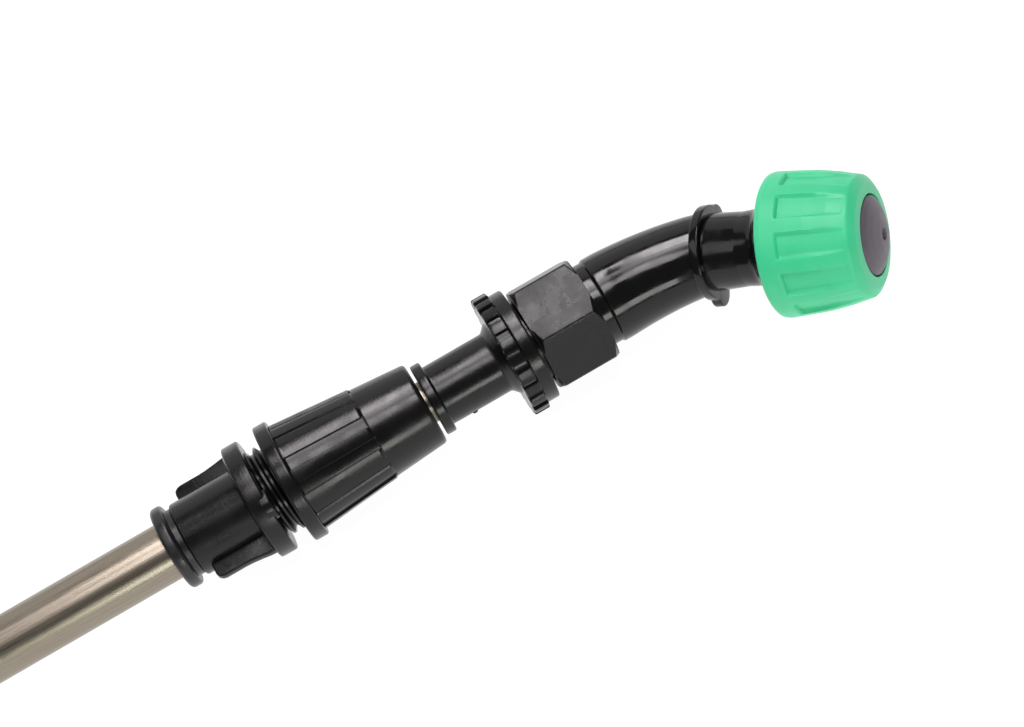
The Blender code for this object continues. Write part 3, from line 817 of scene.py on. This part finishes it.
class LANCE_OT_elbow(bpy.types.Operator):
    """Bent nozzle pipe with its eared flange, rear flange and threaded nose"""
    bl_idname = "lance.elbow"
    bl_label = "Nozzle pipe"

    def execute(self, context):
        material = black_moulding("glossy")
        outline = mm((30.5, 9.2, 0.2), (32.3, 9.2, 0.2), (32.3, 8.3, 0.2), (35.7, 8.3, 0),
                     (35.8, 8.9, 0.1), (40.2, 8.9, 0.5), (40.7, 9.3, 0.5), (43.0, 9.3, 0))
        bend_end = past_meet(MITRE - 0.0017)
        outline += [(bend_end, 0.0083, 0.0)]
        outline += [(past_meet(along), radius, rounding) for along, radius, rounding in mm(
            (7.2, 7.95, 0), (9.0, 7.80, 0), (14.6, 7.50, 2.0), (18.0, 7.75, 2.4),
            (19.5, 9.1, 0.8), (19.6, 10.0, 0.15), (20.8, 10.0, 0.3), (20.9, 8.4, 0.2),
            (21.5, 8.4, 0), (21.9, 8.0, 0), (29.7, 8.0, 0), (29.7, 8.6, 0.1), (30.9, 8.6, 0.1),
            (30.9, 7.3, 0.1), (32.9, 7.3, 0.1), (32.9, 8.6, 0.1), (34.2, 8.6, 0.4),
            (34.2, 5.0, 0.1), (26.4, 5.0, 0), (26.3, 4.0, 0), (7.2, 4.0, 0))]
        outline += [(bend_end, 0.0040, 0.0), (0.0305, 0.0040, 0.0002)]
        mesh = turned_mesh("nozzle_pipe", dense(rounded(outline), 0.0009), pipe_place, 144)
        tidy_mesh(mesh)
        pipe = new_object("nozzle_pipe", mesh)
        finish_piece(pipe, material, "elbow", "black_plastic", "elbow")

        plate = rounded(mm((5.9, 9.6, 0.3), (7.9, 9.6, 0.35), (7.9, 6.5, 0), (5.9, 6.5, 0)))

        def relief(along, radius, share):
            if radius < 0.0090:
                return radius
            best = radius
            for turn, reach in EARS:
                off = 2 * math.pi * share - turn
                across = reach * math.sin(off)
                if math.cos(off) > 0 and abs(across) < EAR_RADIUS:
                    out = reach * math.cos(off) + math.sqrt(EAR_RADIUS ** 2 - across * across)
                    best = max(best, out - (0.0096 - radius))
            return best

        mesh = turned_mesh("ear_plate", plate, round_place(NOZZLE), 180, relief=relief)
        tidy_mesh(mesh)
        finish_piece(new_object("ear_plate", mesh), material, "elbow", "black_plastic")
        ridge = thread("nose_thread", NOZZLE, 0.0225, 0.0090, 0.0080, 3.2, 0.0, material)
        finish_piece(ridge, material, "elbow", "black_plastic")
        return {"FINISHED"}


class LANCE_OT_nozzle(bpy.types.Operator):
    """Fluted green cap and the grey disc with the spray hole"""
    bl_idname = "lance.nozzle"
    bl_label = "Nozzle"

    def execute(self, context):
        sizes = context.scene.lance_sizes
        green = green_polypropylene()
        rear = 21.5
        skin = [(0.0, 13.9, 0.3), (0.4, 14.35, 0.3), (1.3, 14.5, 0.4), (5.8, 14.2, 3.0),
                (9.8, 13.85, 4.0), (14.1, 13.1, 4.0), (18.2, 12.1, 1.3), (19.3, 10.4, 0.9),
                (19.6, 8.15, 0.15)]
        outline = mm(*[(rear + along, radius, rounding) for along, radius, rounding in skin])
        outline += mm((38.1, 8.15, 0), (38.1, 9.3, 0), (24.5, 9.3, 0.3), (24.1, 10.4, 0),
                      (21.5, 10.4, 0.4))
        flute_rear = (rear + 4.3) * MM
        flute_front = (rear + 18.2) * MM

        def relief(along, radius, share):
            if not flute_rear - 0.0004 < along < flute_front or radius < 0.0115:
                return radius
            across = abs(2 * share - 1)
            narrowing = 0.06 * (along - flute_rear) / (flute_front - flute_rear)
            flute = 1 - smooth_step(across, 0.56 - narrowing, 0.68 - narrowing)
            wall = smooth_step(along, flute_rear - 0.00012, flute_rear + 0.00020)
            fade = 1 - 0.75 * smooth_step(along, flute_rear + 0.0050, flute_front - 0.0010)
            end = 1 - smooth_step(along, flute_front - 0.0016, flute_front)
            return radius - sizes.flute_depth * flute * wall * fade * end

        cap = ribbed_piece("nozzle_cap_fluted", outline, NOZZLE, sizes.flutes, FLUTE_TURN, relief,
                           green, 0.00025, 24)
        finish_piece(cap, green, "cap", "green_plastic", "nozzle_cap")

        grey = grey_acetal()
        disc = mm((35.8, 9.0, 0.2), (37.8, 9.0, 0.1), (37.8, 7.85, 0.1), (41.0, 7.85, 0.3),
                  (41.8, 6.7, 3.0), (42.5, 4.9, 4.0), (43.0, 2.6, 3.0), (43.1, 1.25, 0.12),
                  (42.4, 1.0, 0.1), (42.3, 0.45, 0.08), (40.4, 0.45, 0), (38.9, 3.0, 0),
                  (35.8, 4.0, 0))
        plate = turned_piece("spray_disc", disc, NOZZLE, 128, 6)
        finish_piece(plate, grey, "tip", "grey_plastic", "nozzle_disc")
        return {"FINISHED"}


class LANCE_OT_rear_end(bpy.types.Operator):
    """Rear union nut, its washer and its O-ring"""
    bl_idname = "lance.rear_end"
    bl_label = "Rear end"

    def execute(self, context):
        sizes = context.scene.lance_sizes
        satin = black_moulding("satin")
        outline = mm((-10.0, 12.3, 0.5), (-6.0, 12.3, 0.3), (-5.4, 11.75, 0.3), (6.5, 11.2, 1.0),
                     (8.2, 10.0, 0.8), (9.0, 8.2, 0.5), (9.0, 6.4, 0.3), (4.7, 6.4, 0),
                     (4.7, 8.8, 0), (-9.2, 8.8, 0.2), (-10.0, 9.4, 0.2))

        def relief(along, radius, share):
            if not -0.0052 < along < 0.0064 or radius < 0.0105:
                return radius
            across = abs(2 * share - 1)
            groove = 1 - smooth_step(across, 0.20, 0.50)
            ends = smooth_step(along, -0.0050, -0.0040) * (1 - smooth_step(along, 0.0048, 0.0062))
            return radius - 0.0008 * groove * ends

        nut = ribbed_piece("rear_nut_ribbed", outline, REAR, sizes.rear_ribs, 0.0, relief, satin,
                           0.0004, 20)
        finish_piece(nut, satin, "rear_nut", "black_plastic", "rear_nut")

        nylon = natural_acetal()
        washer = turned_piece("rear_washer_flat", mm((3.6, 8.4, 0.1), (4.4, 8.4, 0.1),
                                                     (4.4, 6.3, 0.1), (3.6, 6.3, 0.1)), REAR, 96)
        finish_piece(washer, nylon, "rear_washer", "natural_plastic", "rear_washer")

        cord = 0.0008
        profile = [Vector((0.0004 + cord * math.cos(turn), 0.00605 + cord * math.sin(turn)))
                   for turn in (2 * math.pi * step / 20 for step in range(20))]
        mesh = turned_mesh("face_o_ring", profile, round_place(REAR), 96)
        tidy_mesh(mesh)
        seal = new_object("face_o_ring", mesh)
        finish_piece(seal, rubber(), "barrel", "black_rubber", "rear_o_ring")
        return {"FINISHED"}


class LANCE_OT_inner_pieces(bpy.types.Operator):
    """Materials of the frame's own nodes, inside the lance"""
    bl_idname = "lance.inner_pieces"
    bl_label = "Inner pieces"

    def execute(self, context):
        slots = {entry["node"]: entry["material_slot"] for entry in frame["record"]["subparts"]}
        finishes = {
            "black_rubber": rubber, "natural_plastic": natural_acetal, "steel_mesh": woven_steel,
            "stainless_steel": stainless, "green_plastic": green_polypropylene,
            "grey_plastic": grey_acetal, "black_plastic": lambda: black_moulding("satin"),
        }
        for name, node in frame["nodes"].items():
            if not node.hide_render:
                node.data.materials.clear()
                node.data.materials.append(finishes[slots[name]]())
        return {"FINISHED"}


# ---------------------------------------------------------------- stage

def softbox(name, place, target, size, power, tint):
    """A rectangular area light at place, facing target."""
    light = bpy.data.lights.new(name, "AREA")
    light.shape = "RECTANGLE"
    light.size, light.size_y = size
    light.energy = power
    light.color = tint
    item = bpy.data.objects.new(name, light)
    bpy.context.scene.collection.objects.link(item)
    item.location = place
    aim = (Vector(target) - Vector(place)).normalized()
    item.rotation_euler = aim.to_track_quat("-Z", "Y").to_euler()
    return item


class LANCE_OT_stage(bpy.types.Operator):
    """Pale floor, soft studio light and the camera"""
    bl_idname = "lance.stage"
    bl_label = "Stage"

    def execute(self, context):
        self.floor()
        self.lights()
        self.camera(context)
        context.scene.view_settings.view_transform = "Standard"
        return {"FINISHED"}

    @staticmethod
    def floor():
        mesh = bpy.data.meshes.new("studio_floor")
        half = 4.0
        work = bmesh.new()
        bmesh.ops.create_grid(work, x_segments=1, y_segments=1, size=half)
        bmesh.ops.translate(work, verts=work.verts, vec=(GAP_X, 0.0, FLOOR_Z - 0.0001))
        work.to_mesh(mesh)
        work.free()
        material, tree, shader = new_material("pale_card", **{
            "Base Color": colour("767675"), "Roughness": 0.9,
            "Emission Color": (1.0, 1.0, 1.0, 1.0), "Emission Strength": 0.96,
            "Specular IOR Level": 0.0})
        mesh.materials.append(material)
        new_object("studio_floor", mesh)

    @staticmethod
    def lights():
        """Softboxes and cards (name, place, size, radiance, tint), each facing the gland nut.

        Three strips overhead give the round pieces their double highlight, the front box
        the one below it, and a card of its own lights the hex nut's upper flat.
        """
        aim = (GAP_X, 0.0, 0.0)
        pink, plain, leafy = (1.0, 0.95, 0.97), (1.0, 0.98, 0.96), (0.96, 1.0, 0.92)
        for name, place, size, radiance, tint in (
                ("overhead_front_strip", (GAP_X + 0.062, -0.140, 0.75), (0.27, 0.19), 8.5, pink),
                ("overhead_middle", (GAP_X + 0.055, 0.020, 0.75), (0.29, 0.13), 4.0, pink),
                ("overhead_rear_strip", (GAP_X + 0.055, 0.155, 0.75), (0.29, 0.14), 7.0, pink),
                ("hex_card", (GAP_X + 0.108, 0.330, 0.72), (0.11, 0.28), 18.0, pink),
                ("front_softbox", (GAP_X + 0.060, -0.78, 0.185), (0.32, 0.20), 7.0, leafy),
                ("rear_card", (GAP_X - 0.10, 0.85, 0.40), (1.50, 0.75), 0.8, plain),
                ("left_overhead_card", (GAP_X - 0.46, 0.00, 0.75), (0.66, 0.30), 1.7, plain),
                ("left_front_card", (GAP_X - 0.50, -0.75, 0.25), (0.62, 0.45), 0.6, leafy)):
            softbox(name, place, aim, size, radiance * math.pi * size[0] * size[1], tint)
        world = bpy.data.worlds.new("studio")
        world.use_nodes = True
        sky = world.node_tree.nodes["Background"]
        sky.inputs["Color"].default_value = (1.0, 0.99, 0.97, 1.0)
        sky.inputs["Strength"].default_value = 0.10
        bpy.context.scene.world = world

    @staticmethod
    def camera(context):
        data = bpy.data.cameras.new("camera")
        data.sensor_width = 36.0
        data.lens = 85.4
        item = bpy.data.objects.new("camera", data)
        context.scene.collection.objects.link(item)
        place = Vector((GAP_X - 0.0048, -0.2697, 0.4051))
        target = Vector((GAP_X + 0.0185, -0.0022, 0.0))
        roll = math.radians(-25.88)
        back = (place - target).normalized()
        level = Vector((0.0, 0.0, 1.0)).cross(back).normalized()
        turn = Matrix((level, back.cross(level), back)).transposed().to_4x4()
        item.matrix_world = Matrix.Translation(place) @ turn @ Matrix.Rotation(roll, 4, "Z")
        context.scene.camera = item


class LANCE_PT_panel(bpy.types.Panel):
    """Lists the lance's sizes, finishes and pieces"""
    bl_idname = "LANCE_PT_panel"
    bl_label = "Spray Lance"
    bl_space_type = "VIEW_3D"
    bl_region_type = "UI"
    bl_category = "Spray Lance"

    def draw(self, context):
        layout = self.layout
        for group in (context.scene.lance_sizes, context.scene.lance_finish):
            for name in group.__annotations__:
                layout.prop(group, name)
        for operator in OPERATORS:
            layout.operator(operator.bl_idname)


OPERATORS = (LANCE_OT_tubes, LANCE_OT_gland, LANCE_OT_gland_nut, LANCE_OT_tip_adapter,
             LANCE_OT_coupling_nut, LANCE_OT_elbow, LANCE_OT_nozzle, LANCE_OT_rear_end,
             LANCE_OT_inner_pieces, LANCE_OT_stage)
CLASSES = (LanceSizes, LanceFinish, *OPERATORS, LANCE_PT_panel)


def register():
    for item in CLASSES:
        bpy.utils.register_class(item)
    bpy.types.Scene.lance_sizes = bpy.props.PointerProperty(type=LanceSizes)
    bpy.types.Scene.lance_finish = bpy.props.PointerProperty(type=LanceFinish)


def unregister():
    del bpy.types.Scene.lance_finish
    del bpy.types.Scene.lance_sizes
    for item in reversed(CLASSES):
        bpy.utils.unregister_class(item)


def main():
    register()
    repeat_tree()
    thread_tree()
    for operator in OPERATORS:
        group, action = operator.bl_idname.split(".")
        getattr(getattr(bpy.ops, group), action)()


if __name__ == "__main__":
    main()
